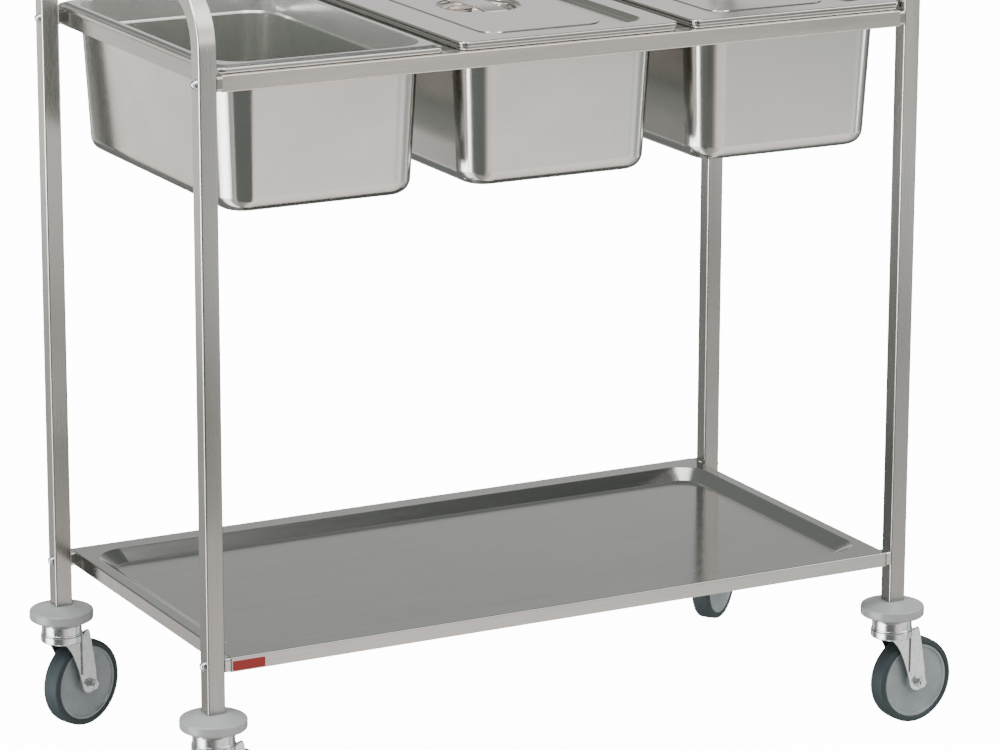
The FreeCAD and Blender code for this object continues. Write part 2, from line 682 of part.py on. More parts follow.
def castor_head():
    """Fixed half of the swivel: upper race with its skirt, stem above and kingpin below."""
    skirt_inner = HEAD_RADIUS - 2.6
    stem_top = BUMPER_TOP + 28.0
    stem_radius = STEM_DIAMETER / 2
    race_low = CROWN_TOP + 2 * CLEARANCE + 2 * BALL_RADIUS
    skirt_low = CROWN_TOP + RACE_LIP + CLEARANCE
    pin_radius = KINGPIN_DIAMETER / 2
    pin_head_radius = 10.0
    pin_head_top = CROWN_TOP - CROWN_THICKNESS - CLEARANCE
    pin_head_low = pin_head_top - 4.0
    lip = 0.6
    edge = 2.5
    return revolved([
        (0, pin_head_low), (pin_head_radius - 1.5, pin_head_low), (pin_head_radius, pin_head_low + 1.5),
        (pin_head_radius, pin_head_top), (pin_radius, pin_head_top), (pin_radius, race_low),
        (skirt_inner, race_low), (skirt_inner, skirt_low), (HEAD_RADIUS + lip, skirt_low),
        (HEAD_RADIUS + lip, skirt_low + 1.4), (HEAD_RADIUS, skirt_low + 2.2),
        (HEAD_RADIUS, HEAD_TOP - edge), (HEAD_RADIUS - 0.7, HEAD_TOP - 0.7),
        (HEAD_RADIUS - edge, HEAD_TOP), (stem_radius, HEAD_TOP),
        (stem_radius, stem_top - 1.5), (stem_radius - 1.5, stem_top), (0, stem_top),
    ])


def castor_balls():
    """Ball bearings of the swivel, between the two races."""
    count = 16
    pitch_radius = 19.0
    height = CROWN_TOP + CLEARANCE + BALL_RADIUS
    balls = []
    for index in range(count):
        angle = 2 * math.pi * index / count
        middle = V(pitch_radius * math.cos(angle), pitch_radius * math.sin(angle), height)
        balls.append(Part.makeSphere(BALL_RADIUS, middle))
    return balls


def castor_fork():
    """Swivelling fork: crown with its race lip, and two legs with a raised trailing edge."""
    rim = 2.6
    bore_radius = KINGPIN_DIAMETER / 2 + 0.06
    crown_low = CROWN_TOP - CROWN_THICKNESS
    skirt_low = crown_low - 4.0
    lip_top = CROWN_TOP + RACE_LIP
    crown = revolved([
        (bore_radius, crown_low), (CROWN_RADIUS - rim - 0.4, crown_low),
        (CROWN_RADIUS - rim - 0.4, skirt_low),
        (CROWN_RADIUS - 1.0, skirt_low), (CROWN_RADIUS, skirt_low + 1.5),
        (CROWN_RADIUS, lip_top - 1.2), (CROWN_RADIUS - 1.2, lip_top),
        (CROWN_RADIUS - rim, lip_top), (CROWN_RADIUS - rim, CROWN_TOP), (bore_radius, CROWN_TOP),
    ])
    pieces = [crown]
    raised = 2.4
    for side in (-1, 1):
        inner = side * FORK_INNER
        leg = leg_plate().extrude(V(0, side * FORK_SHEET, 0))
        leg.translate(V(0, inner, 0))
        fold = leg_fold().extrude(V(0, side * (FORK_SHEET + raised), 0))
        fold.translate(V(0, inner, 0))
        pieces.append(leg)
        pieces.append(fold)
        boss_start = V(CASTOR_TRAIL, inner, WHEEL_RADIUS)
        pieces.append(rod(AXLE_BOSS_DIAMETER, boss_start, V(0, side, 0), FORK_SHEET + AXLE_BOSS_HEIGHT))
    fork = joined(pieces)
    hole = rod(AXLE_DIAMETER + 2 * SEAT, V(CASTOR_TRAIL, -40, WHEEL_RADIUS), Y_AXIS, 80)
    return fork.cut(hole)


def leg_plate():
    """Side view of a leg: wide under the crown, narrowing in a hollow curve to the axle."""
    top = CROWN_TOP - 1.0
    front_top = V(-14.5, 0, top)
    front_low = V(-14.5, 0, 132.5)
    front_foot = V(19.0, 0, 64.0)
    foot_bottom = V(33.5, 0, 50.5)
    back_foot = V(47.0, 0, 64.0)
    back_top = V(31.5, 0, 144.5)
    shoulder = V(24.5, 0, 143.5)
    neck = V(22.0, 0, top)
    curve = Part.BSplineCurve()
    curve.interpolate([front_low, V(-4.0, 0, 121.0), V(4.5, 0, 106.0), V(11.5, 0, 89.0), front_foot])
    edges = [
        Part.makeLine(front_top, front_low),
        curve.toShape(),
        Part.Arc(front_foot, foot_bottom, back_foot).toShape(),
        Part.makeLine(back_foot, back_top),
        Part.makeLine(back_top, shoulder),
        Part.makeLine(shoulder, neck),
        Part.makeLine(neck, front_top),
    ]
    return Part.Face(Part.Wire(edges))


def leg_fold():
    """Side view of the raised panel along a leg's trailing edge, from the crown to the axle."""
    points = [
        V(17.5, 0, 137.5), V(24.0, 0, 144.0), V(31.5, 0, 145.0), V(33.0, 0, 140.0),
        V(43.5, 0, 78.0), V(42.5, 0, 74.0), V(22.5, 0, 74.0), V(17.5, 0, 80.0), V(17.5, 0, 137.5),
    ]
    return Part.Face(Part.makePolygon(points))


def axle_bolt():
    """Hexagon bolt through both legs and the wheel's bush, with its nut."""
    outside = FORK_INNER + FORK_SHEET + AXLE_BOSS_HEIGHT + SEAT
    head_height = 5.3
    nut_height = 6.5
    end = 2.5
    start = V(CASTOR_TRAIL, outside + head_height, WHEEL_RADIUS)
    shank = rod(AXLE_DIAMETER, start, V(0, -1, 0), 2 * outside + head_height + nut_height + end)
    head = hexagon(13.0, start, V(0, -1, 0), head_height)
    return shank.fuse(head)


def axle_nut():
    outside = FORK_INNER + FORK_SHEET + AXLE_BOSS_HEIGHT + SEAT
    washer = rod(16.0, V(CASTOR_TRAIL, -outside, WHEEL_RADIUS), V(0, -1, 0), 1.4)
    nut = hexagon(13.0, V(CASTOR_TRAIL, -outside - 1.4, WHEEL_RADIUS), V(0, -1, 0), 5.6)
    hole = rod(AXLE_DIAMETER + 2 * SEAT, V(CASTOR_TRAIL, -outside + 1, WHEEL_RADIUS), V(0, -1, 0), 12)
    return washer.fuse(nut).cut(hole)


def wheel_profile(points):
    """Solid of revolution about the axle from (radius, width) points, built at the trail."""
    solid = revolved(points)
    solid.Placement = FreeCAD.Placement(V(CASTOR_TRAIL, 0, WHEEL_RADIUS), FreeCAD.Rotation(X_AXIS, 90))
    return solid


def tyre():
    half = WHEEL_WIDTH / 2
    inner = HUB_DIAMETER / 2 + SEAT
    outer = WHEEL_RADIUS
    side = []
    # a slightly crowned tread with round shoulders
    for step in range(4):
        angle = math.radians(30 * step)
        radius = outer - TREAD_CROWN - TREAD_SHOULDER * (1 - math.sin(angle))
        side.append((radius, half - TREAD_SHOULDER * (1 - math.cos(angle))))
    side.append((outer, 0.0))
    upper = [(inner, half - 1.5), (inner + 1.5, half)] + side
    lower = [(radius, -width) for radius, width in reversed(upper) if width > 0]
    return wheel_profile(upper + lower)


def wheel_hub():
    """Moulded wheel centre: rim ring, dished side faces and a boss bored for the bush."""
    half = WHEEL_WIDTH / 2 - 1.0
    rim = HUB_DIAMETER / 2
    bore = BUSH_DIAMETER / 2 + SEAT
    boss = 13.0
    boss_half = FORK_INNER - 2.0
    upper = [
        (bore, boss_half), (boss - 1.0, boss_half), (boss, boss_half - 1.0), (boss + 1.5, half - 3.6),
        (rim - 9.0, half - 2.2), (rim - 4.5, half - 1.8), (rim - 3.5, half),
        (rim - 0.8, half), (rim, half - 0.8),
    ]
    lower = [(radius, -width) for radius, width in reversed(upper)]
    return wheel_profile(upper + lower)


def wheel_bush():
    """Steel tube in the hub, which turns on the axle bolt between the legs."""
    inner = AXLE_DIAMETER / 2 + 0.06
    half = FORK_INNER - CLEARANCE
    return wheel_profile([
        (inner, -half), (BUSH_DIAMETER / 2, -half), (BUSH_DIAMETER / 2, half), (inner, half),
    ])


# ---- export --------------------------------------------------------------------------
os.makedirs("parts", exist_ok=True)
SIDES = (-1, 1)
CORNERS = [(x_side, y_side) for x_side in SIDES for y_side in SIDES]

export("end_frame_left", end_frame(-1))
export("end_frame_right", end_frame(1))
export("leg_plugs", [leg_plug(x * POST_X, y * POST_Y) for x, y in CORNERS])
export("top_rail_front", long_rail(-1))
export("top_rail_rear", long_rail(1))
export("top_rail_left", end_rail(-1))
export("top_rail_right", end_rail(1))
export("cross_bar_left", cross_bar(-PAN_PITCH / 2))
export("cross_bar_right", cross_bar(PAN_PITCH / 2))
export("rail_inserts", [rail_insert(x, y) for x, y in CORNERS])
export("top_spacers", [spacer(x, y, RAIL_MIDDLE) for x, y in CORNERS])
export("shelf", shelf())
export("shelf_spacers", [spacer(x, y, SHELF_MIDDLE) for x, y in CORNERS])
export("shelf_nuts", [shelf_nut(x, y) for x, y in CORNERS])
RAIL_BOLT_TIP = TOP_FRAME_LENGTH / 2 - 14.0
SHELF_BOLT_TIP = SHELF_LENGTH / 2 - 8.0
export("top_bolts", [frame_bolt(x, y, RAIL_MIDDLE, RAIL_BOLT_TIP) for x, y in CORNERS])
export("shelf_bolts", [frame_bolt(x, y, SHELF_MIDDLE, SHELF_BOLT_TIP) for x, y in CORNERS])
export("bolt_washers", [frame_washer(x, y, z) for x, y in CORNERS for z in (RAIL_MIDDLE, SHELF_MIDDLE)])
export("badge_plate", badge())

for name, position in (("left", -1), ("middle", 0), ("right", 1)):
    export("pan_" + name, pan(position * PAN_PITCH))
    if name != "left":
        export("lid_" + name, lid(position * PAN_PITCH))
        export("lid_handle_" + name, lift_bar(position * PAN_PITCH))

for name, (x_side, y_side, turn) in CASTORS.items():
    placement = castor_frame(x_side, y_side, turn)
    pieces = {
        "bumper_": bumper(),
        "castor_head_": castor_head(),
        "castor_balls_": castor_balls(),
        "castor_fork_": castor_fork(),
        "castor_axle_": [axle_bolt(), axle_nut()],
        "wheel_tyre_": tyre(),
        "wheel_hub_": wheel_hub(),
        "wheel_bush_": wheel_bush(),
    }
    for prefix, shape in pieces.items():
        group = shape if isinstance(shape, list) else [shape]
        for solid in group:
            solid.Placement = placement.multiply(solid.Placement)
        export(prefix + name, group)

print("origin shift", round(ORIGIN_SHIFT.x, 3), round(ORIGIN_SHIFT.y, 3))
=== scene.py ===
import math

import bpy
from mathutils import Matrix, Vector


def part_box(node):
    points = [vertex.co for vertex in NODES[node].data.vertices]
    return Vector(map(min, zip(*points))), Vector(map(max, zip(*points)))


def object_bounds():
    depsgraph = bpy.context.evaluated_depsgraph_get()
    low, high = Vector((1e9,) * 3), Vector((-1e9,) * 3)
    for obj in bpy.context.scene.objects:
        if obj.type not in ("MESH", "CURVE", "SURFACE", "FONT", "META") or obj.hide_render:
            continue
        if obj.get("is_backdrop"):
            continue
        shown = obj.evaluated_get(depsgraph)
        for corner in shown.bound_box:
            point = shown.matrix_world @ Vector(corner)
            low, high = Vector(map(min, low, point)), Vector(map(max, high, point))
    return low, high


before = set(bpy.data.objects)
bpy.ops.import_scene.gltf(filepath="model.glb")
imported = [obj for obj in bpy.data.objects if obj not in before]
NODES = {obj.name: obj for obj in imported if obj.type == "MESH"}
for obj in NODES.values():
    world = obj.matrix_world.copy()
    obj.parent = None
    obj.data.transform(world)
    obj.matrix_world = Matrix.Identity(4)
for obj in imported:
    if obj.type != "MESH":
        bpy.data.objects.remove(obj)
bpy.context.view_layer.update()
PANS = ("pan_left", "pan_middle", "pan_right")
X_AXIS, Y_AXIS, Z_AXIS = 0, 1, 2

# ---- camera, in metres and degrees ------------------------------------------------------
CAMERA_PLACE = Vector((-2.8085, -5.3587, 2.1237))
CAMERA_YAW = 28.059          # turned from +Y towards +X
CAMERA_PITCH = 14.935        # looking down
CAMERA_ROLL = 0.213
CAMERA_LENS = 161.49         # focal length, in mm
CAMERA_SENSOR = 36.0         # sensor width, in mm
CAMERA_SHIFT = (-0.021, 0.0)
CAMERA_REACH = 200.0

# ---- colours ----------------------------------------------------------------------------
POST_COLOR = (0.41, 0.4, 0.385)
# lighter colour of the upper posts and the handle: painted sheen
HANDLE_SHEEN_COLOR = (0.74, 0.725, 0.7)
# front and rear rails lighter and warmer than the posts: painted reflection of the bright low light
RAIL_X_SHEEN_COLOR = (0.84, 0.79, 0.75)
RAIL_Y_COLOR = (0.60, 0.59, 0.57)
# shelf steel darker than the pans and lids: painted shade under the pans
SHELF_SHADE_COLOR = (0.46, 0.457, 0.442)
LID_COLOR = (0.66, 0.625, 0.6)
PAN_COLOR = (0.66, 0.645, 0.625)
# colour of a pan's inner faces: painted shade, darker and greener than its outside
INSIDE_SHADE_COLOR = (0.49, 0.505, 0.47, 1.0)
# colour of the band along the top of a pan's inside: painted sheen
NECK_SHEEN_COLOR = (0.9, 0.9, 0.88, 1.0)
ZINC_COLOR = (0.72, 0.74, 0.75)
BUMPER_COLOR = (0.36, 0.38, 0.375)
HUB_COLOR = (0.262, 0.298, 0.318)
TYRE_COLOR = (0.03, 0.045, 0.05)
BADGE_COLOR = (0.28, 0.008, 0.008)
PLUG_COLOR = (0.03, 0.03, 0.03)
WHITE = (1.0, 1.0, 1.0, 1.0)

# ---- roughness, from the smoothest to the dullest spots ---------------------------------
TUBE_ROUGH = (0.2, 0.32)
BAR_ROUGH = (0.16, 0.28)
SHELF_ROUGH = (0.09, 0.16)
LID_ROUGH = (0.11, 0.18)
PAN_ROUGH = (0.13, 0.2)
ZINC_ROUGH = (0.14, 0.26)
BUMPER_ROUGH = (0.16, 0.28)
HUB_ROUGH = (0.16, 0.3)
TYRE_ROUGH = (0.5, 0.68)
BADGE_ROUGH = (0.25, 0.35)
PLUG_ROUGH = (0.5, 0.65)

# ---- where the finish and the painted light of posts and pans change, in metres ---------
PAINTED_SHEEN_HEIGHTS = (0.56, 0.86)     # the posts' brushed colour gives way to a lighter one upwards: painted sheen
BEND_HEIGHTS = (1.07, 1.12)       # the brushing turns with the handle
NECK_HEIGHT = 0.034               # upright band inside a pan's brink, above its stacking step
NECK_EDGE = (-0.002, 0.001)       # the neck's painted sheen sets in from below its foot to above it
INSIDE_EDGE = 0.02                # how far a face must turn inward to count as inside

# ---- shares, all without a unit ---------------------------------------------------------
INSIDE_DULLING = 0.02             # added to the roughness inside a pan
INSIDE_METAL = 0.84               # how metallic the inside of a pan is
NOISE_RANGE = (0.3, 0.7)          # where most values of a noise lie
STREAK_RANGE = (0.35, 0.65)       # the same for the streaks of brushing, a little tighter
STREAK_SHARE = 0.4                # how much of the darker tone a streak takes
STREAK_SHADE = 0.82               # how dark that tone is
BRUSHED_BLOTCH = 0.05             # unevenness of tone, up and down
DRAWN_BLOTCH = 0.03
ZINC_SHADES = (0.86, 1.1)         # the darkest and the lightest clouds of zinc
STEEL_RELIEF = 0.35               # strength of the fine relief
GRAIN_RELIEF = 0.5

# ---- depth of fine relief, in metres ----------------------------------------------------
BRUSHED_DEPTH = 0.00002
DRAWN_DEPTH = 0.00001
ZINC_DEPTH = 0.000015
PLASTIC_DEPTH = 0.00006
BUMPER_DEPTH = 0.00008
TYRE_DEPTH = 0.00012
BADGE_DEPTH = 0.00003

# ---- scales of patterns, in waves per metre ---------------------------------------------
BRUSH_ACROSS = 1600.0
BRUSH_ALONG = 9.0
HAZE_ACROSS = 40.0
HAZE_ALONG = 3.0
SATIN_GRAIN = 900.0
SATIN_HAZE = (9.0, 9.0, 14.0)
STEEL_CLOUDS = 5.0
ZINC_GRAIN = 420.0
ZINC_CLOUDS = 130.0
PLASTIC_GRAIN = 900.0
PLASTIC_CLOUDS = 35.0
TYRE_GRAIN = 500.0
CARD_WEAVE = 30.0
FLOOR_CLOUDS = 0.8

# ---- surroundings -----------------------------------------------------------------------
BACKDROP_LIGHT = 14.0
FLOOR_REACH = 60.0
FLOOR_TONES = ((0.86, 0.86, 0.86, 1.0), (0.9, 0.9, 0.9, 1.0))
FLOOR_ROUGH = 0.8
FLOOR_GLOW = 13.5
CARD = (-1.06, -0.32, 0.26, 1.06, -0.83)     # left, right, low, high and Y of the dark card
CARD_TONES = ((0.04, 0.045, 0.04, 1.0), (0.06, 0.065, 0.06, 1.0))
CARD_ROUGH = 0.9
CARD_TINT = (0.93, 1.0, 0.94, 1.0)
CARD_GLOW = 0.15

WARM = (1.07, 0.985, 0.945)
PLAIN = (1.0, 1.0, 1.0)
GREEN = (0.93, 1.0, 0.94)
# light round the trolley as (degrees from +X, strength, tint), from the lowest layer upwards
FOOT_SKY = (
    (-180, 4.0, PLAIN), (-160, 2.0, PLAIN), (-150, 0.4, GREEN), (-112, 0.5, WARM), (-62, 1.5, WARM),
    (-30, 1.2, WARM), (0, 0.6, GREEN), (30, 0.12, GREEN), (66, 0.45, GREEN), (90, 0.2, GREEN),
    (112, 0.25, GREEN), (150, 0.25, GREEN), (180, 4.0, PLAIN),
)
DEEP_SKY = (
    (-180, 9.0, PLAIN), (-166, 8.0, PLAIN), (-159, 0.1, GREEN), (-112, 0.1, GREEN), (-102, 0.5, WARM),
    (-92, 1.45, WARM), (-62, 1.6, WARM), (-55, 1.3, GREEN), (-40, 1.8, PLAIN), (-22, 0.7, GREEN),
    (0, 1.2, PLAIN), (16, 0.25, GREEN), (28, 0.12, GREEN), (42, 0.6, PLAIN), (62, 0.45, GREEN),
    (88, 0.4, GREEN), (104, 0.8, GREEN), (111, 1.3, WARM), (115, 0.8, WARM), (119, 0.25, GREEN),
    (150, 0.6, PLAIN), (155, 6.0, PLAIN), (180, 9.0, PLAIN),
)
LOW_SKY = (
    (-180, 9.0, PLAIN), (-166, 8.0, PLAIN), (-159, 0.1, GREEN), (-116, 0.12, GREEN), (-100, 0.35, GREEN),
    (-66, 0.5, GREEN), (-56, 0.3, GREEN), (-30, 0.4, GREEN), (0, 0.42, GREEN), (22, 0.16, GREEN),
    (42, 0.5, PLAIN), (62, 0.4, GREEN), (88, 0.2, GREEN), (102, 0.8, GREEN), (108, 1.8, WARM),
    (112, 1.7, WARM), (115, 0.5, GREEN), (119, 0.15, GREEN), (146, 0.3, PLAIN), (155, 6.0, PLAIN),
    (180, 9.0, PLAIN),
)
HIGH_SKY = (
    (-180, 1.5, PLAIN), (-160, 1.2, PLAIN), (-150, 0.6, PLAIN), (-118, 0.6, PLAIN), (-90, 1.3, PLAIN),
    (-62, 1.9, WARM), (-20, 1.3, WARM), (20, 0.4, GREEN), (44, 0.75, PLAIN), (62, 0.93, PLAIN),
    (74, 0.88, PLAIN), (94, 0.5, GREEN), (118, 0.5, GREEN), (150, 0.8, PLAIN), (180, 1.5, PLAIN),
)
UPPER_SHARE = (0.56, 0.58, 0.55)             # the upper layer is the high one, dimmed
DOME_SKY = (
    (-180, 0.5, PLAIN), (-100, 0.6, PLAIN), (-80, 2.6, PLAIN), (-44, 2.6, PLAIN), (-20, 0.3, GREEN),
    (26, 0.13, GREEN), (40, 0.26, GREEN), (70, 0.34, GREEN), (100, 0.3, GREEN), (150, 0.4, PLAIN),
    (180, 0.5, PLAIN),
)
ZENITH_LIGHT = (5.5, 5.5, 5.5, 1.0)
OVERHEAD_LIGHT = (1.1, 1.1, 1.09, 1.0)
# heights between which one layer turns into the next, as the sine of the elevation
FOOT_TO_DEEP = (-0.365, -0.335)
DEEP_TO_LOW = (-0.278, -0.258)
LOW_TO_HIGH = (0.03, 0.1)
HIGH_TO_UPPER = (0.23, 0.30)
UPPER_TO_DOME = (0.42, 0.55)
DOME_TO_ZENITH = (0.90, 0.95)
ZENITH_TO_OVERHEAD = (0.965, 0.98)
SKY_SCALE = 10.0                             # keeps the colours of the ramps between 0 and 1


# ---- node helpers -----------------------------------------------------------------------
class Graph:
    """Short calls for making and joining the nodes of one material or world."""

    def __init__(self, tree):
        self.tree = tree
        tree.nodes.clear()

    def node(self, kind, **settings):
        made = self.tree.nodes.new(kind)
        for name, value in settings.items():
            setattr(made, name, value)
        return made

    def join(self, source, target):
        self.tree.links.new(source, target)

    def put(self, node, socket, value):
        """Joins value if it is a socket, else writes it as the socket's own number."""
        target = node.inputs[socket]
        if isinstance(value, bpy.types.NodeSocket):
            self.join(value, target)
        else:
            target.default_value = value

    def math(self, operation, first, second):
        made = self.node("ShaderNodeMath", operation=operation)
        self.put(made, 0, first)
        self.put(made, 1, second)
        return made.outputs[0]

    def spread(self, value, low, high, to_low, to_high, smooth=False):
        """Maps a range of value onto another, held at both ends."""
        made = self.node("ShaderNodeMapRange", clamp=True)
        if smooth:
            made.interpolation_type = "SMOOTHSTEP"
        for socket, number in enumerate((value, low, high, to_low, to_high)):
            self.put(made, socket, number)
        return made.outputs[0]

    def grade(self, pattern, to_low, to_high):
        """Maps the usual range of a noise onto another."""
        return self.spread(pattern, *NOISE_RANGE, to_low, to_high)

    def rise(self, value, low, high):
        """0 below low, 1 above high, with a smooth turn between."""
        return self.spread(value, low, high, 0.0, 1.0, smooth=True)

    def mix(self, share, first, second):
        """Mixes two colours."""
        made = self.node("ShaderNodeMix", data_type="RGBA")
        self.put(made, 0, share)
        self.put(made, 6, first)
        self.put(made, 7, second)
        return made.outputs[2]

    def blend(self, share, first, second):
        """Mixes two numbers."""
        made = self.node("ShaderNodeMix", data_type="FLOAT")
        self.put(made, 0, share)
        self.put(made, 2, first)
        self.put(made, 3, second)
        return made.outputs[0]

    def noise(self, place, stretch, detail, roughness, distortion=0.0):
        """Noise of the object's own coordinates, with one scale for all axes or one for each."""
        if not isinstance(stretch, tuple):
            stretch = (stretch,) * 3
        mapping = self.node("ShaderNodeMapping")
        self.put(mapping, 0, place)
        mapping.inputs["Scale"].default_value = stretch
        made = self.node("ShaderNodeTexNoise")
        self.put(made, "Vector", mapping.outputs[0])
        made.inputs["Scale"].default_value = 1.0
        made.inputs["Detail"].default_value = detail
        made.inputs["Roughness"].default_value = roughness
        made.inputs["Distortion"].default_value = distortion
        return made.outputs["Fac"]

    def height(self, place):
        """How high a point lies."""
        made = self.node("ShaderNodeSeparateXYZ")
        self.join(place, made.inputs[0])
        return made.outputs[2]

    def relief(self, shader, pattern, strength, depth):
        """Roughens the surface by a pattern."""
        made = self.node("ShaderNodeBump")
        made.inputs["Strength"].default_value = strength
        made.inputs["Distance"].default_value = depth
        self.put(made, "Height", pattern)
        self.join(made.outputs[0], shader.inputs["Normal"])

    def ramp(self, value, stops):
        """Colours along a value, from (position, colour) stops."""
        made = self.node("ShaderNodeValToRGB")
        made.color_ramp.interpolation = "EASE"
        elements = made.color_ramp.elements
        while len(elements) < len(stops):
            elements.new(0.5)
        for element, (position, color) in zip(elements, stops):
            element.position = position
            element.color = (*color, 1.0)
        self.put(made, 0, value)
        return made.outputs[0]


def shaded(color, amount):
    """A colour made darker or lighter."""
    return tuple(min(1.0, channel * amount) for channel in color) + (1.0,)


def new_material(name):
    material = bpy.data.materials.new(name)
    material.use_nodes = True
    graph = Graph(material.node_tree)
    output = graph.node("ShaderNodeOutputMaterial")
    shader = graph.node("ShaderNodeBsdfPrincipled")
    graph.join(shader.outputs[0], output.inputs[0])
    place = graph.node("ShaderNodeTexCoord").outputs["Object"]
    return material, graph, shader, place


# ---- materials --------------------------------------------------------------------------
def brush_stretch(axis, across, along):
    """Noise scales that make streaks along one axis."""
    return tuple(along if index == axis else across for index in range(3))


def brushed(graph, place, axis):
    """Fine streaks and a broader haze, both along one axis."""
    fine = brush_stretch(axis, BRUSH_ACROSS, BRUSH_ALONG)
    broad = brush_stretch(axis, HAZE_ACROSS, HAZE_ALONG)
    streaks = graph.noise(place, fine, detail=3.0, roughness=0.65)
    haze = graph.noise(place, broad, detail=3.0, roughness=0.5)
    return streaks, haze


def satin(graph, place):
    """A fine even grain and a broader haze."""
    grain = graph.noise(place, SATIN_GRAIN, detail=2.0, roughness=0.6)
    haze = graph.noise(place, SATIN_HAZE, detail=3.0, roughness=0.55, distortion=0.4)
    return grain, haze


def facing(graph, place, centre):
    """1 on faces turned towards centre, 0 on faces turned away: the inside of a vessel."""
    inward = graph.node("ShaderNodeVectorMath", operation="SUBTRACT")
    inward.inputs[0].default_value = centre
    graph.join(place, inward.inputs[1])
    along = graph.node("ShaderNodeVectorMath", operation="DOT_PRODUCT")
    graph.join(inward.outputs[0], along.inputs[0])
    graph.join(place.node.outputs["Normal"], along.inputs[1])
    return graph.spread(along.outputs["Value"], 0.0, INSIDE_EDGE, 0.0, 1.0)


def steel(name, color, rough, axis=None, depth=BRUSHED_DEPTH, blotch=BRUSHED_BLOTCH, inside=None,
          painted_sheen=None, turn=None):
    """Stainless steel: fine brushing along an axis, or a drawn satin skin where axis is None.
    rough is the range of its roughness, depth that of its relief, blotch its unevenness of tone.
    inside is the middle and the top of a vessel whose inner faces are duller than its outer ones;
    they carry painted shade, a darker greenish colour, and a painted sheen, a pale band at the top.
    painted_sheen is the two heights between which the colour turns lighter upwards, a painted sheen, and
    that lighter colour.
    turn is the two heights between which the brushing turns to another axis, and that axis."""
    material, graph, shader, place = new_material(name)
    streaks, haze = satin(graph, place) if axis is None else brushed(graph, place, axis)
    if turn is not None:
        foot, head, other = turn
        turned = graph.rise(graph.height(place), foot, head)
        other_streaks, other_haze = brushed(graph, place, other)
        streaks = graph.blend(turned, streaks, other_streaks)
        haze = graph.blend(turned, haze, other_haze)
    half_streaks = graph.math("MULTIPLY", streaks, 0.5)
    half_haze = graph.math("MULTIPLY", haze, 0.5)
    roughness = graph.grade(graph.math("ADD", half_streaks, half_haze), *rough)
    metal = 1.0
    clouds = graph.noise(place, STEEL_CLOUDS, detail=4.0, roughness=0.55)
    tone = graph.grade(clouds, 0.0, 1.0)
    pale = graph.mix(tone, shaded(color, 1 - blotch), shaded(color, 1 + blotch))
    darkening = graph.spread(streaks, *STREAK_RANGE, 0.0, STREAK_SHARE)
    skin = graph.mix(darkening, pale, shaded(color, STREAK_SHADE))
    # painted sheen: between two heights the posts' colour turns to a lighter one
    if painted_sheen is not None:
        foot, head, sheen_color = painted_sheen
        sheen_share = graph.rise(graph.height(place), foot, head)
        skin = graph.mix(sheen_share, skin, shaded(sheen_color, 1.0))
    if inside is not None:
        centre, top = inside
        within = facing(graph, place, centre)
        dulling = graph.math("MULTIPLY", within, INSIDE_DULLING)
        roughness = graph.math("ADD", roughness, dulling)
        metal = graph.spread(within, 0.0, 1.0, 1.0, INSIDE_METAL)
        below, above = NECK_EDGE
        neck_foot = top - NECK_HEIGHT
        neck = graph.spread(graph.height(place), neck_foot + below, neck_foot + above, 0.0, 1.0)
        # painted shade on the inner faces, and a painted sheen on the neck band
        skin = graph.mix(within, skin, graph.mix(neck, INSIDE_SHADE_COLOR, NECK_SHEEN_COLOR))
    graph.put(shader, "Base Color", skin)
    graph.put(shader, "Roughness", roughness)
    graph.put(shader, "Metallic", metal)
    graph.relief(shader, streaks, STEEL_RELIEF, depth)
    return material


def pan_steel(node):
    """The drawn steel of one pan, with a duller inside that carries painted shade and a painted sheen.
    """
    low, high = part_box(node)
    centre = (Vector(low) + Vector(high)) / 2
    return steel("steel_" + node, PAN_COLOR, PAN_ROUGH, depth=DRAWN_DEPTH, blotch=DRAWN_BLOTCH,
                 inside=(centre, high[2]))


def zinc(name):
    """Zinc plate: bright, with a faint cloudy grain."""
    material, graph, shader, place = new_material(name)
    grain = graph.noise(place, ZINC_GRAIN, detail=3.0, roughness=0.6)
    clouds = graph.noise(place, ZINC_CLOUDS, detail=5.0, roughness=0.65)
    tone = graph.grade(clouds, 0.0, 1.0)
    dark, pale = (shaded(ZINC_COLOR, amount) for amount in ZINC_SHADES)
    graph.put(shader, "Base Color", graph.mix(tone, dark, pale))
    graph.put(shader, "Roughness", graph.grade(grain, *ZINC_ROUGH))
    shader.inputs["Metallic"].default_value = 1.0
    graph.relief(shader, clouds, GRAIN_RELIEF, ZINC_DEPTH)
    return material


def plastic(name, color, rough, depth=PLASTIC_DEPTH, speckle=0.05, grain=PLASTIC_GRAIN, specular=0.5):
    """Moulded plastic or rubber: a fine grain, and a tone that varies by speckle up and down."""
    material, graph, shader, place = new_material(name)
    fine = graph.noise(place, grain, detail=2.0, roughness=0.6)
    clouds = graph.noise(place, PLASTIC_CLOUDS, detail=4.0, roughness=0.6)
    tone = graph.grade(clouds, 0.0, 1.0)
    skin = graph.mix(tone, shaded(color, 1 - speckle), shaded(color, 1 + speckle))
    graph.put(shader, "Base Color", skin)
    graph.put(shader, "Roughness", graph.grade(fine, *rough))
    shader.inputs["Specular IOR Level"].default_value = specular
    graph.relief(shader, fine, GRAIN_RELIEF, depth)
    return material


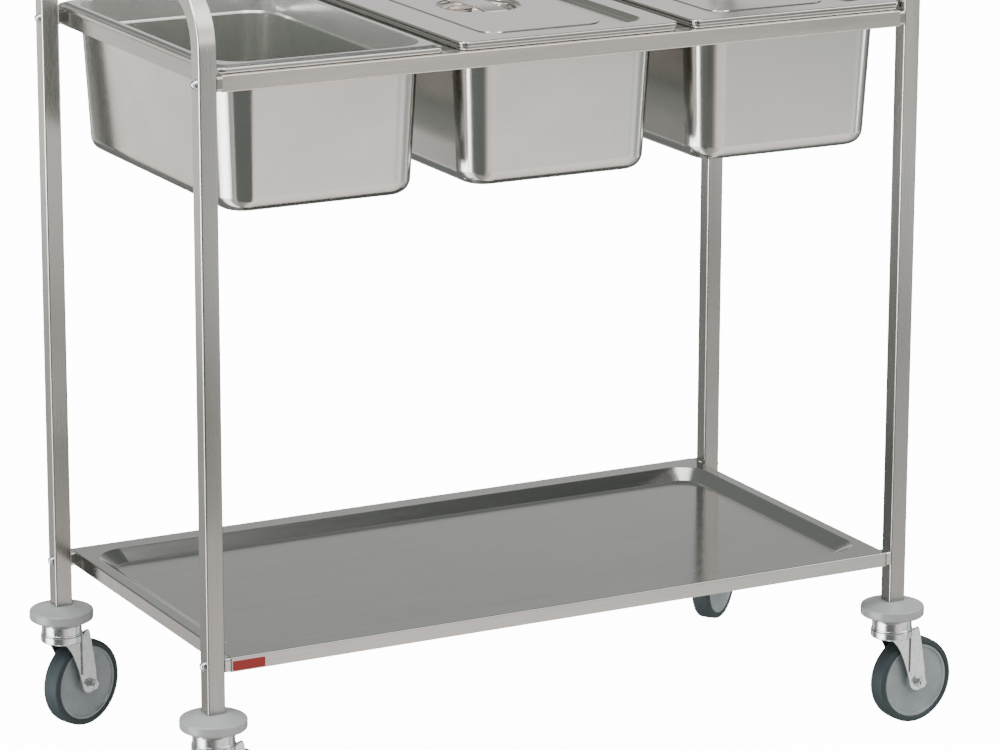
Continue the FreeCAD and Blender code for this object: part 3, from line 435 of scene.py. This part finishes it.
MATERIALS = {
    # the posts turn lighter towards the top: painted sheen
    "post": steel("steel_post", POST_COLOR, TUBE_ROUGH, Z_AXIS,
                  painted_sheen=(*PAINTED_SHEEN_HEIGHTS, HANDLE_SHEEN_COLOR), turn=(*BEND_HEIGHTS, Y_AXIS)),
    # the front and rear rails carry a painted reflection in their lighter colour
    "rail_x": steel("steel_rail_x", RAIL_X_SHEEN_COLOR, TUBE_ROUGH, X_AXIS),
    "rail_y": steel("steel_rail_y", RAIL_Y_COLOR, BAR_ROUGH, Y_AXIS),
    # the shelf carries painted shade in its darker colour
    "shelf": steel("steel_shelf", SHELF_SHADE_COLOR, SHELF_ROUGH, X_AXIS, DRAWN_DEPTH, DRAWN_BLOTCH),
    "lid": steel("steel_lid", LID_COLOR, LID_ROUGH, None, DRAWN_DEPTH, DRAWN_BLOTCH),
    "zinc": zinc("zinc_plate"),
    "bumper": plastic("bumper_plastic", BUMPER_COLOR, BUMPER_ROUGH, BUMPER_DEPTH, speckle=0.06),
    "hub": plastic("hub_plastic", HUB_COLOR, HUB_ROUGH, speckle=0.12),
    "tyre": plastic("tyre_rubber", TYRE_COLOR, TYRE_ROUGH, TYRE_DEPTH, speckle=0.1,
                    grain=TYRE_GRAIN, specular=0.4),
    "badge": plastic("badge_red", BADGE_COLOR, BADGE_ROUGH, BADGE_DEPTH, speckle=0.08),
    "dark": plastic("plug_plastic", PLUG_COLOR, PLUG_ROUGH),
}
MATERIALS.update({node: pan_steel(node) for node in PANS})

# the start of a CAD node's name, and the key of its material; the longest start that fits wins
FINISHES = {
    "end_frame": "post",
    "top_rail_front": "rail_x",
    "top_rail_rear": "rail_x",
    "top_rail_left": "rail_y",
    "top_rail_right": "rail_y",
    "cross_bar": "rail_y",
    "top_spacers": "rail_y",
    "shelf_spacers": "rail_y",
    "shelf_nuts": "zinc",
    "shelf_bolts": "zinc",
    "top_bolts": "zinc",
    "bolt_washers": "zinc",
    "rail_inserts": "zinc",
    "shelf": "shelf",
    "lid": "lid",
    "leg_plugs": "dark",
    "badge_plate": "badge",
    "bumper": "bumper",
    "castor": "zinc",
    "wheel_bush": "zinc",
    "wheel_hub": "hub",
    "wheel_tyre": "tyre",
}
FINISHES.update({node: node for node in PANS})


def finish_of(node):
    """The material key of a CAD node."""
    best = max((start for start in FINISHES if node.startswith(start)), key=len)
    return FINISHES[best]


for name, piece in NODES.items():
    piece.data.materials.clear()
    piece.data.materials.append(MATERIALS[finish_of(name)])


# ---- surroundings -----------------------------------------------------------------------
def sky(graph, azimuth, layer):
    """The light of one layer all the way round, from its (degrees, strength, tint) stops."""
    stops = []
    for degrees, strength, tint in layer:
        position = (degrees + 180.0) / 360.0
        stops.append((position, tuple(strength * channel / SKY_SCALE for channel in tint)))
    made = graph.node("ShaderNodeVectorMath", operation="SCALE")
    graph.join(graph.ramp(azimuth, stops), made.inputs[0])
    made.inputs["Scale"].default_value = SKY_SCALE
    return made.outputs[0]


def make_world():
    """Layers of light that fall on the trolley, and a white backdrop that only the camera sees."""
    world = bpy.data.worlds.new("studio")
    bpy.context.scene.world = world
    world.use_nodes = True
    graph = Graph(world.node_tree)
    output = graph.node("ShaderNodeOutputWorld")
    heading = graph.node("ShaderNodeTexCoord").outputs["Generated"]
    parts = graph.node("ShaderNodeSeparateXYZ")
    graph.join(heading, parts.inputs[0])
    east, north, up = parts.outputs
    turn = graph.math("ARCTAN2", north, east)
    azimuth = graph.spread(turn, -math.pi, math.pi, 0.0, 1.0)

    high_layer = sky(graph, azimuth, HIGH_SKY)
    upper = graph.node("ShaderNodeVectorMath", operation="MULTIPLY")
    graph.join(high_layer, upper.inputs[0])
    upper.inputs[1].default_value = UPPER_SHARE
    layers = (
        (FOOT_TO_DEEP, sky(graph, azimuth, DEEP_SKY)),
        (DEEP_TO_LOW, sky(graph, azimuth, LOW_SKY)),
        (LOW_TO_HIGH, high_layer),
        (HIGH_TO_UPPER, upper.outputs[0]),
        (UPPER_TO_DOME, sky(graph, azimuth, DOME_SKY)),
        (DOME_TO_ZENITH, ZENITH_LIGHT),
        (ZENITH_TO_OVERHEAD, OVERHEAD_LIGHT),
    )
    light_color = sky(graph, azimuth, FOOT_SKY)
    for (low, high), layer in layers:
        light_color = graph.mix(graph.rise(up, low, high), light_color, layer)

    light = graph.node("ShaderNodeBackground")
    graph.join(light_color, light.inputs["Color"])
    backdrop = graph.node("ShaderNodeBackground")
    backdrop.inputs["Color"].default_value = WHITE
    backdrop.inputs["Strength"].default_value = BACKDROP_LIGHT
    either = graph.node("ShaderNodeMixShader")
    seen = graph.node("ShaderNodeLightPath").outputs["Is Camera Ray"]
    graph.join(seen, either.inputs[0])
    graph.join(light.outputs[0], either.inputs[1])
    graph.join(backdrop.outputs[0], either.inputs[2])
    graph.join(either.outputs[0], output.inputs[0])


def flat_panel(name, corners, material):
    """One face with four corners, put into the scene."""
    mesh = bpy.data.meshes.new(name)
    mesh.from_pydata(corners, [], [(0, 1, 2, 3)])
    mesh.materials.append(material)
    panel = bpy.data.objects.new(name, mesh)
    bpy.context.scene.collection.objects.link(panel)
    return panel


def glowing(name, tones, pattern_scale, rough, glow_color, glow):
    """A matt material that varies between two tones and gives off light of its own."""
    material, graph, shader, place = new_material(name)
    pattern = graph.noise(place, pattern_scale, detail=2.0, roughness=0.5)
    graph.put(shader, "Base Color", graph.mix(pattern, *tones))
    shader.inputs["Roughness"].default_value = rough
    shader.inputs["Emission Color"].default_value = glow_color
    shader.inputs["Emission Strength"].default_value = glow
    return material


def make_floor():
    """A pale floor all round, which neither lights the trolley nor shows in its steel."""
    corners = [(-FLOOR_REACH, -FLOOR_REACH, 0), (FLOOR_REACH, -FLOOR_REACH, 0),
               (FLOOR_REACH, FLOOR_REACH, 0), (-FLOOR_REACH, FLOOR_REACH, 0)]
    pale = glowing("pale_floor", FLOOR_TONES, FLOOR_CLOUDS, FLOOR_ROUGH, WHITE, FLOOR_GLOW)
    floor = flat_panel("studio_floor", corners, pale)
    floor.visible_diffuse = False
    floor.visible_glossy = False
    floor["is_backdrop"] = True


def make_card():
    """A dark card beside the front left corner, seen only as a dark band in the reflective steel."""
    left, right, low, high, y = CARD
    corners = [(left, y, low), (right, y, low), (right, y, high), (left, y, high)]
    cloth = glowing("card_cloth", CARD_TONES, CARD_WEAVE, CARD_ROUGH, CARD_TINT, CARD_GLOW)
    card = flat_panel("studio_card", corners, cloth)
    card.visible_camera = False
    card.visible_diffuse = False
    card.visible_shadow = False
    card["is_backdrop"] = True


def area_light(name, azimuth, elevation, distance, size, power):
    """A soft rectangle that faces the middle of the trolley, placed by angles in degrees."""
    low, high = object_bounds()
    middle = (low + high) / 2
    turn = math.radians(azimuth)
    lift = math.radians(elevation)
    east = math.cos(turn) * math.cos(lift)
    north = math.sin(turn) * math.cos(lift)
    heading = Vector((east, north, math.sin(lift)))
    data = bpy.data.lights.new(name, "AREA")
    data.shape = "RECTANGLE"
    data.size, data.size_y = size
    data.energy = power
    lamp = bpy.data.objects.new(name, data)
    bpy.context.scene.collection.objects.link(lamp)
    lamp.location = middle + heading * distance
    lamp.rotation_mode = "QUATERNION"
    lamp.rotation_quaternion = (-heading).to_track_quat("-Z", "Y")
    lamp.visible_camera = False


def make_camera():
    data = bpy.data.cameras.new("camera")
    camera = bpy.data.objects.new("camera", data)
    bpy.context.scene.collection.objects.link(camera)
    data.lens = CAMERA_LENS
    data.sensor_width = CAMERA_SENSOR
    data.shift_x, data.shift_y = CAMERA_SHIFT
    data.clip_end = CAMERA_REACH
    yaw = Matrix.Rotation(math.radians(-CAMERA_YAW), 4, "Z")
    pitch = Matrix.Rotation(math.radians(90.0 - CAMERA_PITCH), 4, "X")
    roll = Matrix.Rotation(math.radians(CAMERA_ROLL), 4, "Z")
    camera.matrix_world = Matrix.Translation(CAMERA_PLACE) @ yaw @ pitch @ roll
    bpy.context.scene.camera = camera


make_world()
make_floor()
make_card()
area_light("key_light", azimuth=-150, elevation=50, distance=4.5, size=(2.2, 2.2), power=110.0)
area_light("side_light", azimuth=178, elevation=20, distance=4.0, size=(0.5, 2.6), power=40.0)
area_light("fill_light", azimuth=-30, elevation=35, distance=4.5, size=(2.0, 2.0), power=40.0)
make_camera()
